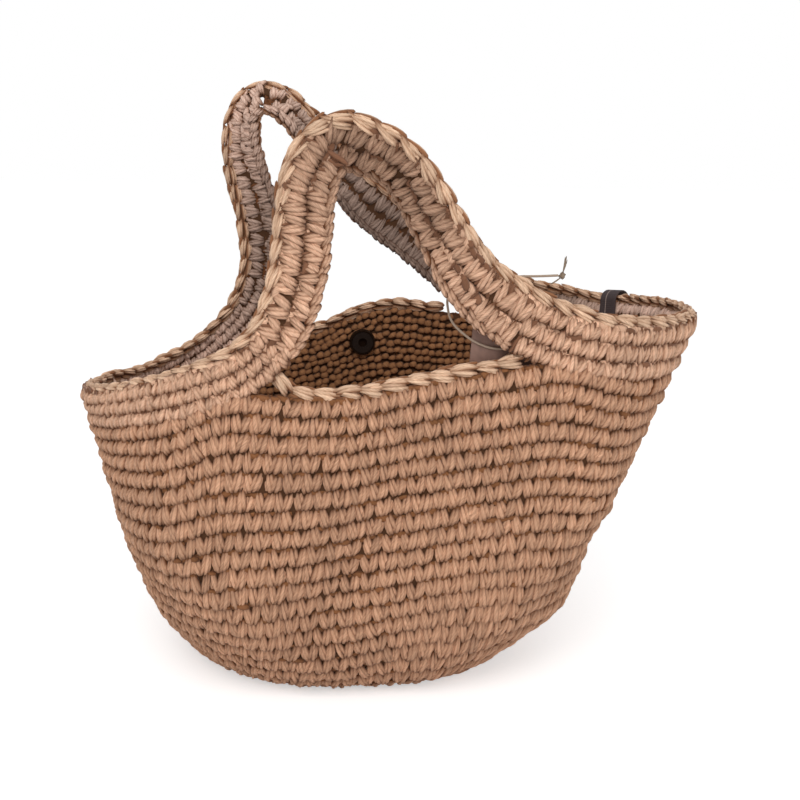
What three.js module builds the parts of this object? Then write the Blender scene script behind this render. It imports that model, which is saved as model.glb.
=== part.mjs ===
// Jute tote bag, crocheted in rounds: bowl-shaped body, two arched handles that are one with the rim,
// slip-stitch chains along every free edge, magnetic snap, rim label and a hang tag on a string.
// Millimetres, +Z up, X along the bag, the front towards -Y. Origin: middle of the base, on the ground.
import * as THREE from "three";

// Driving dimensions of the fabric
const fabric = 8;
const bagLength = 356;
const bagDepth = 210;
const baseLength = 166;
const baseDepth = 116;
const baseStraight = 16;
const bellyHeight = 112;
const bellySwell = 114;
const mouthHalf = 102;
const frontSlitHeight = 185;
const backSlitHeight = 191;
const slitHalf = 70;
const rimEndHeight = 196;
const rimFootHeight = 204;

// Driving dimensions of the way the soft bag stands: its left end dips and tucks in, its right end
// rises and reaches out, all measured at the rim
const leftDip = 30;
const leftTuck = 19;
const leftPinch = 0.22;
const rightLift = 15;
const rightReach = 16;

// Driving dimensions of the handles and the chains that edge them
const hingeHeight = 240;
const handleSpacing = 100;
const bandWidth = 25;
const frontRise = 79;
const backRise = 120;
const frontLean = [-5, 12];
const backLean = [-55, -12];
const chainWidth = 6.5;

// Driving dimensions of the snap, label and tag
const snapDiameter = 18;
const snapX = 13.5;
const snapHeight = 175;
const snapCaseHeight = 3;
const snapWall = 0.8;
const magnetHeight = 1.8;
const magnetBore = 6;
const studDiscHeight = 1.2;
const studDiameter = 4.6;
const studReach = 1.9;
const labelWidth = 12.5;
const labelDrop = 11;
const labelSheet = 0.8;
const labelInset = 17;
const tagWidth = 32;
const tagLength = 52;
const tagSheet = 0.8;
const tagTilt = -0.05;
const tagHole = 3.4;
const tagHoleInset = [21, 9];
const tagHoleAt = [68, 204];
const stringDiameter = 1.2;
const hangAt = [54, 238];
const loopX = 35;
const tieEnd = [88.5, 240];
const knotDiameter = 3.4;

// Clearance that touching pieces keep
const gap = 0.3;

// Derived places
const outerY = bagDepth / 2;
const innerY = outerY - fabric;
const middleY = outerY - fabric / 2;
const endReach = bagLength / 2;
const labelX = endReach - labelInset;
const wallSteps = 6;
const chainOffset = gap + chainWidth / 2;
const footX = handleSpacing / 2;
const bandHalf = bandWidth / 2;
const cardY = -innerY + 2 * gap + studDiscHeight;

const colours = {
  jute: 0xb98e63,
  juteDark: 0xa37b52,
  chain: 0xc9a075,
  black: 0x1b1a1c,
  magnet: 0x2c2b2e,
  label: 0x3d3a3c,
  card: 0x8a7873,
  string: 0xb9aea0,
};

const part = new THREE.Group();

function addMesh(name, geometry, colour, roughness = 0.95, metalness = 0) {
  const material = new THREE.MeshStandardMaterial({ color: colour, roughness, metalness });
  const mesh = new THREE.Mesh(geometry, material);
  mesh.name = name;
  part.add(mesh);
  return mesh;
}

// Half-length, half-depth and straight half of the bag's outline at height z
function section(z) {
  const s = Math.min(Math.max(z / rimEndHeight, 0), 1);
  const swell = (bellySwell / 2) * Math.sqrt(1 - (1 - s) ** 2);
  const flare = (endReach - baseLength / 2 - bellySwell / 2) * s ** 2;
  const length = baseLength / 2 + swell + flare;
  const d = Math.min(Math.max(z / bellyHeight, 0), 1);
  const depth = baseDepth / 2 + (outerY - baseDepth / 2) * Math.sqrt(1 - (1 - d) ** 2);
  const straight = baseStraight + (mouthHalf - baseStraight) * d * d * (3 - 2 * d);
  return { length, depth, straight };
}

// Point of the outline: an elliptical end at each side, turned by angle from the +X or -X direction
function endPoint(side, angle, size) {
  const x = size.straight + (size.length - size.straight) * Math.cos(angle);
  return new THREE.Vector2(side * x, size.depth * Math.sin(angle));
}

// The outer surface at a height, and the inner surface one fabric thickness inside it
function wallSizes(z) {
  const outer = section(z);
  const turn = (Math.PI / 2) * Math.min(1, z / (5 * fabric));
  const inset = fabric * Math.sin(turn);
  const inner = {
    length: outer.length - inset,
    depth: outer.depth - inset,
    straight: outer.straight - (z >= bellyHeight ? 0 : inset / 2),
  };
  return { outer, inner, innerZ: z + fabric * Math.cos(turn) };
}

// Shift of a point of the even form once the bag stands; nothing between the handle legs moves
function settle(x, y, z) {
  const height = Math.min(Math.max(z / rimEndHeight, 0), 1.1);
  const reached = (from) => Math.max(0, (Math.abs(x) - from) / (endReach - from)) ** 1.5;
  const end = reached(footX + bandHalf);
  const [along, up] = x < 0 ? [leftTuck, -leftDip] : [rightReach, rightLift];
  const pinch = x < 0 ? leftPinch * reached(mouthHalf) * height ** 2 : 0;
  return new THREE.Vector3(along * end * height, -pinch * y, up * end * height ** 1.5);
}

// Points of an XZ outline of the front or back wall once the bag stands
function settleOutline(points) {
  return points.map((p) => {
    const moved = settle(p.x, 0, p.y);
    return new THREE.Vector2(p.x + moved.x, p.y + moved.z);
  });
}

// Height of the side rim above a place at |x|
function rimHeight(x) {
  const along = Math.min(Math.max((endReach - Math.abs(x)) / (endReach - mouthHalf), 0), 1);
  return rimEndHeight + (rimFootHeight - rimEndHeight) * along ** 2;
}

// Closed solid between an outer and an inner grid of points, rows of equal length
function shellBetween(outer, inner, ring) {
  const rows = outer.length;
  const columns = outer[0].length;
  const positions = [];
  for (const grid of [outer, inner]) {
    for (const row of grid) {
      for (const p of row) positions.push(p.x, p.y, p.z);
    }
  }
  const index = [];
  const at = (side, row, column) => side * rows * columns + row * columns + (column % columns);
  const quad = (a, b, c, d) => index.push(a, b, c, a, c, d);
  const spans = ring ? columns : columns - 1;
  for (let c = 0; c < spans; c += 1) {
    for (let r = 0; r < rows - 1; r += 1) {
      quad(at(0, r, c), at(0, r, c + 1), at(0, r + 1, c + 1), at(0, r + 1, c));
      quad(at(1, r, c), at(1, r + 1, c), at(1, r + 1, c + 1), at(1, r, c + 1));
    }
    quad(at(0, 0, c + 1), at(0, 0, c), at(1, 0, c), at(1, 0, c + 1));
    quad(at(0, rows - 1, c), at(0, rows - 1, c + 1), at(1, rows - 1, c + 1), at(1, rows - 1, c));
  }
  if (!ring) {
    const last = columns - 1;
    for (let r = 0; r < rows - 1; r += 1) {
      quad(at(0, r, 0), at(0, r + 1, 0), at(1, r + 1, 0), at(1, r, 0));
      quad(at(0, r + 1, last), at(0, r, last), at(1, r, last), at(1, r + 1, last));
    }
  }
  const geometry = new THREE.BufferGeometry();
  geometry.setAttribute("position", new THREE.Float32BufferAttribute(positions, 3));
  geometry.setIndex(index);
  geometry.computeVertexNormals();
  return geometry;
}

// Whole outline at one size, anticlockwise from the right end's front
function ringPoints(size, z, endSteps, straightSteps) {
  const points = [];
  for (const side of [1, -1]) {
    for (let i = 0; i <= endSteps; i += 1) {
      const angle = -Math.PI / 2 + (Math.PI * i) / endSteps;
      const p = endPoint(side, side * angle, size);
      points.push(new THREE.Vector3(p.x, p.y, z));
    }
    for (let i = 1; i < straightSteps; i += 1) {
      const x = side * size.straight * (1 - (2 * i) / straightSteps);
      points.push(new THREE.Vector3(x, side * size.depth, z));
    }
  }
  return points;
}

// Flat plate in the XZ plane, between two values of y
function plateXZ(shape, nearY, thickness, curveSegments = 12) {
  const geometry = new THREE.ExtrudeGeometry(shape, {
    depth: thickness,
    bevelEnabled: false,
    steps: 1,
    curveSegments,
  });
  geometry.rotateX(Math.PI / 2);
  geometry.translate(0, nearY + thickness, 0);
  return geometry;
}

// Round tube along a curve through the points
function tubeAlong(points, diameter, sides, steps) {
  const section = new THREE.Shape();
  section.absarc(0, 0, diameter / 2, 0, 2 * Math.PI);
  const path = new THREE.CatmullRomCurve3(points, false, "centripetal");
  return new THREE.ExtrudeGeometry(section, {
    steps,
    curveSegments: sides / 2,
    bevelEnabled: false,
    extrudePath: path,
  });
}

function addBase() {
  const ground = section(0);
  const outline = ringPoints(
    { length: ground.length - gap, depth: ground.depth - gap, straight: ground.straight - gap },
    0,
    16,
    4,
  );
  const shape = new THREE.Shape(outline.map((p) => new THREE.Vector2(p.x, p.y)));
  const disc = new THREE.ExtrudeGeometry(shape, { depth: fabric, bevelEnabled: false });
  addMesh("base_disc", disc, colours.juteDark);
}

function addLowerWall() {
  const levels = 12;
  const outer = [];
  const inner = [];
  for (let i = 0; i <= levels; i += 1) {
    const z = bellyHeight * (i / levels) ** 1.6;
    const sizes = wallSizes(z);
    const outerRing = ringPoints(sizes.outer, z, 18, wallSteps);
    const innerRing = ringPoints(sizes.inner, sizes.innerZ, 18, wallSteps);
    const moved = outerRing.map((p) => settle(p.x, p.y, z));
    outer.push(outerRing.map((p, column) => p.add(moved[column])));
    inner.push(innerRing.map((p, column) => p.add(moved[column])));
  }
  addMesh("lower_wall", shellBetween(outer, inner, true), colours.jute);
}

// Angle at which an elliptical end starts, just past the edge of the front and back panels
function startAngle(size) {
  return Math.acos(gap / (size.length - size.straight));
}

// Upper wall at one end of the bag, up to the side rim
function addSide(name, side) {
  const levels = 8;
  const steps = 28;
  const outer = [];
  const inner = [];
  for (let i = 0; i <= levels; i += 1) {
    const outerRow = [];
    const innerRow = [];
    for (let j = 0; j <= steps; j += 1) {
      const share = (2 * j) / steps - 1;
      const rimSize = section(rimEndHeight);
      const rimX = endPoint(1, share * startAngle(rimSize), rimSize).x;
      const foot = bellyHeight + gap;
      const z = foot + ((rimHeight(rimX) - foot) * i) / levels;
      const sizes = wallSizes(z);
      const p = endPoint(side, side * share * startAngle(sizes.outer), sizes.outer);
      const q = endPoint(side, side * share * startAngle(sizes.inner), sizes.inner);
      const moved = settle(p.x, p.y, z);
      outerRow.push(new THREE.Vector3(p.x, p.y, z).add(moved));
      innerRow.push(new THREE.Vector3(q.x, q.y, z).add(moved));
    }
    outer.push(outerRow);
    inner.push(innerRow);
  }
  addMesh(name, shellBetween(outer, inner, false), colours.jute);
}

// Outer edge of a handle foot, from the side rim up to where the handle folds
function footOuterEdge() {
  return new THREE.QuadraticBezierCurve(
    new THREE.Vector2(mouthHalf, rimFootHeight),
    new THREE.Vector2(footX + bandHalf, rimFootHeight + chainWidth / 2),
    new THREE.Vector2(footX + bandHalf, hingeHeight),
  );
}

// Inner edge of a handle foot, from the fold down to the corner of the slit and along the slit
function footInnerEdges(side) {
  const slitHeight = side < 0 ? frontSlitHeight : backSlitHeight;
  const top = new THREE.Vector2(footX - bandHalf, hingeHeight);
  const knee = new THREE.Vector2(slitHalf - chainWidth / 2, slitHeight + 2.4 * chainWidth);
  const corner = new THREE.Vector2(slitHalf - 2 * chainWidth, slitHeight);
  return [
    new THREE.QuadraticBezierCurve(top, new THREE.Vector2(top.x, (top.y + knee.y) / 2), knee),
    new THREE.QuadraticBezierCurve(knee, new THREE.Vector2(slitHalf + chainWidth, slitHeight), corner),
  ];
}

const mirrored = (points) => points.map((p) => new THREE.Vector2(-p.x, p.y)).reverse();

// Front or back wall between the two side walls, with the four corners of its handle feet
function addPanel(name, side) {
  const rightEdge = footOuterEdge().getPoints(10);
  for (const curve of footInnerEdges(side)) rightEdge.push(...curve.getPoints(8).slice(1));
  const outline = [...rightEdge, ...mirrored(rightEdge)];
  for (let i = 0; i <= wallSteps; i += 1) {
    outline.push(new THREE.Vector2(mouthHalf * ((2 * i) / wallSteps - 1), bellyHeight + gap));
  }
  const nearY = side < 0 ? -outerY : innerY;
  const shape = new THREE.Shape(settleOutline(outline));
  addMesh(name, plateXZ(shape, nearY, fabric), colours.jute);
}

// Points beside a plane curve, moved along its left normal
function offsetPoints(points, distance) {
  return points.map((p, i) => {
    const before = points[Math.max(i - 1, 0)];
    const after = points[Math.min(i + 1, points.length - 1)];
    const along = after.clone().sub(before).normalize();
    return new THREE.Vector2(p.x - along.y * distance, p.y + along.x * distance);
  });
}

const atDepth = (points, y) => points.map((p) => new THREE.Vector3(p.x, y, p.y));

// Chain along the slit, from knee to knee of the two handle feet
function addSlitChain(name, side) {
  const corner = footInnerEdges(side)[1].getPoints(8);
  const edge = settleOutline([...corner, ...mirrored(corner)]);
  const line = offsetPoints(edge, -chainOffset);
  addMesh(name, tubeAlong(atDepth(line, side * middleY), chainWidth, 8, 48), colours.chain);
}

// Chain up the outer edge of one handle foot
function addFootChain(name, side, hand) {
  const even = footOuterEdge().getPoints(12).map((p) => new THREE.Vector2(hand * p.x, p.y));
  const edge = settleOutline(even);
  const reach = hand * edge[0].x - gap / 2;
  const line = offsetPoints(edge, -hand * chainOffset);
  const kept = line.filter((p) => hand * p.x < reach && p.y < hingeHeight - gap / 2);
  addMesh(name, tubeAlong(atDepth(kept, side * middleY), chainWidth, 8, 14), colours.chain);
}

// Middle of the side rim's top, at an angle round one end of the bag
function rimMiddle(side, angle) {
  const size = section(rimEndHeight);
  const inside = { ...size, length: size.length - fabric / 2, depth: size.depth - fabric / 2 };
  const outer = endPoint(side, side * angle, size);
  const middle = endPoint(side, side * angle, inside);
  const z = rimHeight(outer.x);
  return new THREE.Vector3(middle.x, middle.y, z).add(settle(outer.x, outer.y, z));
}

// Points moved off a line, square to it and as near straight up as that allows
function raisePoints(points, distance) {
  return points.map((p, i) => {
    const before = points[Math.max(i - 1, 0)];
    const after = points[Math.min(i + 1, points.length - 1)];
    const along = after.clone().sub(before).normalize();
    const up = new THREE.Vector3(0, 0, 1).addScaledVector(along, -along.z).normalize();
    return p.clone().addScaledVector(up, distance);
  });
}

// Chain on the side rim, round one end of the bag from foot to foot
function addRimChain(name, side) {
  const steps = 24;
  const points = [];
  const reach = Math.acos((2 * gap + 1) / (endReach - fabric / 2 - mouthHalf));
  for (let i = 0; i <= steps; i += 1) points.push(rimMiddle(side, reach * ((2 * i) / steps - 1)));
  const line = raisePoints(points, chainOffset);
  addMesh(name, tubeAlong(line, chainWidth, 8, 48), colours.chain);
}

// Centre line of a handle: an arch whose two upper control points lean towards one end of the bag
function handleCurve(lean, rise) {
  const crown = hingeHeight + gap + rise;
  return new THREE.CubicBezierCurve(
    new THREE.Vector2(-footX, hingeHeight + gap),
    new THREE.Vector2(-footX + lean[0], crown),
    new THREE.Vector2(-footX + lean[1], crown),
    new THREE.Vector2(footX, hingeHeight + gap),
  );
}

// Handle band, and the chain along its outer edge
function addHandle(name, chainName, side, lean, rise) {
  const line = handleCurve(lean, rise).getSpacedPoints(48);
  const foot = hingeHeight + gap;
  const outerEdge = [
    new THREE.Vector2(-footX - bandHalf, foot),
    ...offsetPoints(line, bandHalf).filter((p) => p.y > foot + 1),
    new THREE.Vector2(footX + bandHalf, foot),
  ];
  const innerEdge = [
    new THREE.Vector2(footX - bandHalf, foot),
    ...offsetPoints(line, -bandHalf).reverse().filter((p) => p.y > foot + 1),
    new THREE.Vector2(-footX + bandHalf, foot),
  ];
  const nearY = side < 0 ? -outerY : innerY;
  const shape = new THREE.Shape([...outerEdge, ...innerEdge]);
  addMesh(name, plateXZ(shape, nearY, fabric), colours.jute);
  const chain = offsetPoints(line, bandHalf + chainOffset).filter((p) => p.y > foot + 1);
  addMesh(chainName, tubeAlong(atDepth(chain, side * middleY), chainWidth, 8, 56), colours.chain);
}

// Lathe round an axis along Y: profile points are radius and distance from the wall
function turned(profile, wallY, inward, segments = 32) {
  const points = profile.map(([radius, height]) => new THREE.Vector2(radius, height));
  const geometry = new THREE.LatheGeometry(points, segments);
  if (inward < 0) geometry.rotateX(Math.PI);
  geometry.translate(snapX, wallY, snapHeight);
  return geometry;
}

// Magnetic snap: a cup with a ring magnet on the back wall, and a riveted stud disc on the front wall
function addSnap() {
  const radius = snapDiameter / 2;
  const lip = radius - 2 * snapWall;
  const seat = snapWall + gap;
  const cup = [
    [0, 0],
    [radius, 0],
    [radius, snapWall],
    [lip + snapWall, snapCaseHeight],
    [lip, snapCaseHeight],
    [lip, snapWall],
    [0, snapWall],
  ];
  const back = innerY - gap;
  addMesh("snap_socket_case", turned(cup, back, -1), colours.black, 0.35, 0.6);
  const magnet = [
    [magnetBore / 2, seat],
    [lip - gap, seat],
    [lip - gap, seat + magnetHeight],
    [magnetBore / 2, seat + magnetHeight],
    [magnetBore / 2, seat],
  ];
  addMesh("snap_socket_magnet", turned(magnet, back, -1), colours.magnet, 0.5, 0.4);
  const front = -innerY + gap;
  const disc = [
    [0, 0],
    [radius, 0],
    [radius, studDiscHeight / 2],
    [radius - snapWall, studDiscHeight],
    [0, studDiscHeight],
  ];
  addMesh("snap_stud_disc", turned(disc, front, 1), colours.black, 0.35, 0.6);
  const neck = studDiscHeight + gap;
  const post = [
    [0, neck],
    [studDiameter / 2, neck],
    [studDiameter / 2, neck + studReach - snapWall],
    [studDiameter / 2 - snapWall, neck + studReach],
    [0, neck + studReach],
  ];
  addMesh("snap_stud_post", turned(post, front, 1, 24), colours.black, 0.3, 0.7);
}

// Folded label: a strip over the rim chain, hanging down both faces of the wall near the right end
function addLabel() {
  const angle = Math.acos((labelX - mouthHalf) / (endReach - fabric / 2 - mouthHalf));
  const at = rimMiddle(1, angle);
  const alongRim = rimMiddle(1, angle + 0.05).sub(rimMiddle(1, angle - 0.05));
  const inside = fabric / 2 + 6 * gap;
  const outside = inside + labelSheet;
  const crown = chainWidth + 4 * gap;
  const bottom = crown - labelDrop;
  const shape = new THREE.Shape();
  shape.moveTo(-outside, bottom);
  shape.lineTo(-outside, crown - inside / 2);
  shape.quadraticCurveTo(-outside, crown + labelSheet, -inside / 2, crown + labelSheet);
  shape.lineTo(inside / 2, crown + labelSheet);
  shape.quadraticCurveTo(outside, crown + labelSheet, outside, crown - inside / 2);
  shape.lineTo(outside, bottom);
  shape.lineTo(inside, bottom);
  shape.lineTo(inside, crown - inside / 2);
  shape.quadraticCurveTo(inside, crown, inside / 2, crown);
  shape.lineTo(-inside / 2, crown);
  shape.quadraticCurveTo(-inside, crown, -inside, crown - inside / 2);
  shape.lineTo(-inside, bottom);
  const strip = new THREE.ExtrudeGeometry(shape, {
    depth: labelWidth,
    bevelEnabled: false,
    curveSegments: 5,
  });
  strip.translate(0, 0, -labelWidth / 2);
  strip.rotateX(Math.PI / 2);
  const mesh = addMesh("label_tab", strip, colours.label, 0.9);
  mesh.rotation.z = Math.atan2(alongRim.y, alongRim.x) - Math.PI / 2;
  mesh.rotateX(Math.atan2(alongRim.z, Math.hypot(alongRim.x, alongRim.y)));
  mesh.position.copy(at);
}

// Hang tag: a card behind the front wall, its string up to the handle foot, and the tie and knot there
function addTag() {
  const shape = new THREE.Shape();
  const [insetX, insetZ] = tagHoleInset;
  shape.moveTo(-insetX, insetZ - tagLength);
  shape.lineTo(tagWidth - insetX, insetZ - tagLength);
  shape.lineTo(tagWidth - insetX, insetZ);
  shape.lineTo(-insetX, insetZ);
  const hole = new THREE.Path();
  hole.absarc(0, 0, tagHole / 2, 0, 2 * Math.PI, true);
  shape.holes.push(hole);
  const card = addMesh("tag_card", plateXZ(shape, 0, tagSheet, 10), colours.card, 0.6);
  card.rotation.y = -tagTilt;
  card.position.set(tagHoleAt[0], cardY, tagHoleAt[1]);

  const behind = cardY + tagSheet + gap + stringDiameter / 2;
  const seated = -innerY + gap + stringDiameter / 2;
  const stringPoints = [
    [tagHoleAt[0] - 1, behind, tagHoleAt[1]],
    [loopX + 25, behind, tagHoleAt[1] - 0.3],
    [loopX + 16, behind + 0.5, tagHoleAt[1] + 2],
    [loopX + 7, behind + 1, tagHoleAt[1] + 7.6],
    [loopX + 2, behind + 1.5, tagHoleAt[1] + 13],
    [loopX, behind + 1.5, tagHoleAt[1] + 19],
    [loopX - 0.3, behind + 1, tagHoleAt[1] + 25],
    [loopX + 1.5, behind, hangAt[1] - 4],
    [loopX + 6, seated + 0.8, hangAt[1]],
    [loopX + 12, seated, hangAt[1] + 0.5],
    [hangAt[0], seated, hangAt[1]],
  ];
  const string = stringPoints.map((p) => new THREE.Vector3(...p));
  addMesh("tag_string", tubeAlong(string, stringDiameter, 8, 44), colours.string);

  const tiePoints = [
    [hangAt[0] + 0.4, seated, hangAt[1]],
    [hangAt[0] + 7, seated, hangAt[1] + 0.7],
    [hangAt[0] + 16, seated, hangAt[1] + 1.4],
    [tieEnd[0] - 9, seated, tieEnd[1] - 0.4],
    [tieEnd[0], seated, tieEnd[1]],
  ];
  const tie = tiePoints.map((p) => new THREE.Vector3(...p));
  addMesh("tag_tie", tubeAlong(tie, stringDiameter, 8, 16), colours.string);
  const knot = new THREE.SphereGeometry(knotDiameter / 2, 12, 8);
  const mesh = addMesh("tag_knot", knot, colours.string);
  mesh.position.set(tieEnd[0] + gap + knotDiameter / 2, seated, tieEnd[1]);
}

addBase();
addLowerWall();
addSide("left_side", -1);
addSide("right_side", 1);
addPanel("front_panel", -1);
addPanel("back_panel", 1);
addSlitChain("front_slit_chain", -1);
addSlitChain("back_slit_chain", 1);
for (const [wall, side] of [["front", -1], ["back", 1]]) {
  addFootChain(`${wall}_foot_chain_left`, side, -1);
  addFootChain(`${wall}_foot_chain_right`, side, 1);
}
addRimChain("left_rim_chain", -1);
addRimChain("right_rim_chain", 1);
addHandle("front_handle", "front_handle_chain", -1, frontLean, frontRise);
addHandle("back_handle", "back_handle_chain", 1, backLean, backRise);
addSnap();
addLabel();
addTag();

export default part;
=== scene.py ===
"""Crocheted jute tote: single crochet worked in rounds, arched handles, chain-stitched edges.

Every stitch is two plump arms of yarn that meet in a V, laid along the rounds of the bag's form.
"""
from __future__ import annotations

import logging
import math
from collections.abc import Callable
from dataclasses import dataclass, field, replace
from enum import Enum

import bpy
import numpy as np
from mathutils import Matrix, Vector

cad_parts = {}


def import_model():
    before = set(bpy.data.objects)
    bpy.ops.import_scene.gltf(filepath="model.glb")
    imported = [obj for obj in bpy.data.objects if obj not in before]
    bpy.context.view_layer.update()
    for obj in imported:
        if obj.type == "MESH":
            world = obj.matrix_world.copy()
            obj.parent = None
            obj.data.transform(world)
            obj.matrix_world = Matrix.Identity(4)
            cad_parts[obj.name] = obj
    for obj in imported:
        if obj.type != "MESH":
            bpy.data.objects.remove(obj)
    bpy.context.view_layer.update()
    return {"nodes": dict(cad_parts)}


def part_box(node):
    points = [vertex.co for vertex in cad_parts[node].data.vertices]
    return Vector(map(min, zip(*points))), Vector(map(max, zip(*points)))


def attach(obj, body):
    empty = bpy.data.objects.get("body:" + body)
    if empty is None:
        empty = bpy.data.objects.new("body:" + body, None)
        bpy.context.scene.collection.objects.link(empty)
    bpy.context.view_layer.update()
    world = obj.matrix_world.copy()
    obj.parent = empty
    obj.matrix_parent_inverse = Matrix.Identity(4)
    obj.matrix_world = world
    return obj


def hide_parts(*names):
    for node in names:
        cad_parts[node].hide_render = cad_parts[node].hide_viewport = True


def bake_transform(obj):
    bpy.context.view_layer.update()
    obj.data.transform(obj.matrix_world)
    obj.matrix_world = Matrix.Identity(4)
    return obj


Line = Callable[[np.ndarray], np.ndarray]
Triple = tuple[float, float, float]
Table = tuple[tuple[float, ...], ...]
Arrays = tuple[np.ndarray, ...]

LOG = logging.getLogger("jute_tote")
MM = 0.001
SEED = 7


class Wall(Enum):
    """The two long walls of the bag."""

    FRONT = -1
    BACK = 1


def smoothstep(value: np.ndarray, low: float, high: float) -> np.ndarray:
    """Ease from 0 at low to 1 at high.

    Args:
        value: numbers to ease.
        low: where the result leaves 0.
        high: where the result reaches 1.

    Returns:
        The eased numbers.
    """
    t = np.clip((value - low) / (high - low), 0.0, 1.0)
    return t * t * (3.0 - 2.0 * t)


def unit(vectors: np.ndarray) -> np.ndarray:
    """Scale rows of vectors to length 1.

    Args:
        vectors: an array of vectors, one a row.

    Returns:
        The unit vectors.
    """
    return vectors / np.maximum(np.linalg.norm(vectors, axis=-1, keepdims=True), 1e-12)


@dataclass
class BagForm:
    """The bag's form, read from the frame, and its softer shape in use."""

    reach: float = 178.0 * MM
    mouth_half: float = 102.0 * MM
    slit_height: float = 184.0 * MM
    rim_height: float = 196.0 * MM
    fabric: float = 8.0 * MM
    inner_depth: float = 6.1 * MM
    core_depths: tuple[float, float] = (2.9 * MM, 5.1 * MM)
    rows: int = 19
    crowding: float = 0.88
    row_tilt: float = 0.30
    stitch_pitch: float = 9.7 * MM
    chain_width: float = 6.5 * MM
    band_width: float = 25.0 * MM
    base_straight: float = 16.0 * MM
    swell: float = 57.0 * MM
    tilt: float = 0.095
    lean: float = 0.026
    end_lift: tuple[float, float] = (-13.5 * MM, -2.0 * MM)
    levels: tuple[float, ...] = (0.0, 40 * MM, 90 * MM, 150 * MM, 210 * MM)
    left_stretch: tuple[float, ...] = (1.009, 1.049, 1.005, 0.961, 0.917)
    right_stretch: tuple[float, ...] = (0.937, 1.113, 0.984, 1.036, 1.065)
    dent_depth: float = 4.0 * MM
    dent_top: tuple[float, float] = (7.0 * MM, 128.0 * MM)
    dent_foot: tuple[float, float] = (-37.0 * MM, 38.0 * MM)
    dent_width: float = 14.0 * MM
    pinch: float = 0.22

    def __post_init__(self) -> None:
        """Read the driving sizes from the frame's boxes."""
        self.base_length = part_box("base_disc")[1][0]
        self.base_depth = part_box("base_disc")[1][1]
        self.belly_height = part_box("lower_wall")[1][2]
        self.depth = -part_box("front_panel")[0][1]
        self.hinge_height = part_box("front_panel")[1][2]
        self._arc_table()
        self._height_table()

    def _arc_table(self) -> None:
        """Tabulate the elliptical end's turn against its length at the rim."""
        turn = np.linspace(0.0, math.pi / 2, 400)
        x = (self.reach - self.mouth_half) * np.sin(turn)
        y = self.depth * np.cos(turn)
        self.arc_turn = turn
        self.arc_length = np.concatenate([[0.0], np.cumsum(np.hypot(np.diff(x), np.diff(y)))])
        self.half_span = self.mouth_half + self.arc_length[-1]

    def _height_table(self) -> None:
        """Tabulate the wall's height against its length up the front."""
        z = self.slit_height * np.linspace(0.0, 1.0, 600) ** 2
        depth = self.section(z)[1]
        steps = np.hypot(np.diff(z), np.diff(depth))
        self.rise_length = np.concatenate([[0.0], np.cumsum(steps)])
        self.rise_height = z

    @property
    def row_pitch(self) -> float:
        """Height of one round along the front wall."""
        return float(self.rise_length[-1] / self.rows)

    def section(self, z: np.ndarray) -> tuple[np.ndarray, np.ndarray, np.ndarray]:
        """Half-length, half-depth and straight half of the outline.

        Args:
            z: heights.

        Returns:
            Half-length, half-depth and half of the straight stretch.
        """
        s = np.clip(z / self.rim_height, 0.0, 1.0)
        flare = self.reach - self.base_length - self.swell
        length = self.base_length + self.swell * np.sqrt(1 - (1 - s) ** 2) + flare * s**2
        d = np.clip(z / self.belly_height, 0.0, 1.0)
        depth = self.base_depth + (self.depth - self.base_depth) * np.sqrt(1 - (1 - d) ** 2)
        ease = d * d * (3.0 - 2.0 * d)
        straight = self.base_straight + (self.mouth_half - self.base_straight) * ease
        return length, depth, straight

    def relax(self, p: np.ndarray) -> np.ndarray:
        """Lay the soft bag's own lean, dent and pinched end over the even form.

        Args:
            p: points of the even form.

        Returns:
            The moved points.
        """
        q = p.copy()
        height = np.clip(p[..., 2] / self.rim_height, 0.0, 1.15)
        left = np.interp(p[..., 2], self.levels, self.left_stretch)
        right = np.interp(p[..., 2], self.levels, self.right_stretch)
        share = smoothstep(p[..., 0], -80 * MM, 80 * MM)
        q[..., 0] = p[..., 0] * (left * (1 - share) + right * share) + self.lean * p[..., 2]
        to_left = smoothstep(-p[..., 0], 80 * MM, self.reach)
        to_right = smoothstep(p[..., 0], 80 * MM, self.reach)
        lift = self.end_lift[0] * to_left + self.end_lift[1] * to_right
        q[..., 2] += self.tilt * p[..., 0] * height**1.3 + lift * height**1.5
        q[..., 1] *= 1.0 - self.pinch * to_left * height**2
        top = np.array(self.dent_top)
        along = np.array(self.dent_foot) - top
        xz = p[..., [0, 2]] - top
        t = np.clip((xz @ along) / (along @ along), 0.0, 1.0)
        away = np.linalg.norm(xz - t[..., None] * along, axis=-1)
        dent = self.dent_depth * np.exp(-((away / self.dent_width) ** 2))
        q[..., 1] += np.where(p[..., 1] < -0.3 * self.depth, dent, 0.0)
        return q

    def wall_point(self, wall: Wall, s: np.ndarray, z: np.ndarray) -> np.ndarray:
        """Point of the bag's outer face.

        Args:
            wall: front or back.
            s: length along the wall at the rim, 0 in its middle.
            z: height.

        Returns:
            Points, one a row.
        """
        length, depth, straight = self.section(z)
        side = np.sign(s)
        beyond = np.clip(np.abs(s) - self.mouth_half, 0.0, None)
        turn = np.interp(beyond, self.arc_length, self.arc_turn)
        on_straight = np.clip(np.abs(s) / self.mouth_half, 0.0, 1.0) * straight
        x = side * (on_straight + (length - straight) * np.sin(turn))
        y = wall.value * depth * np.cos(turn)
        return self.relax(np.stack([x, y, z + 0.0 * x], axis=-1))

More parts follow.
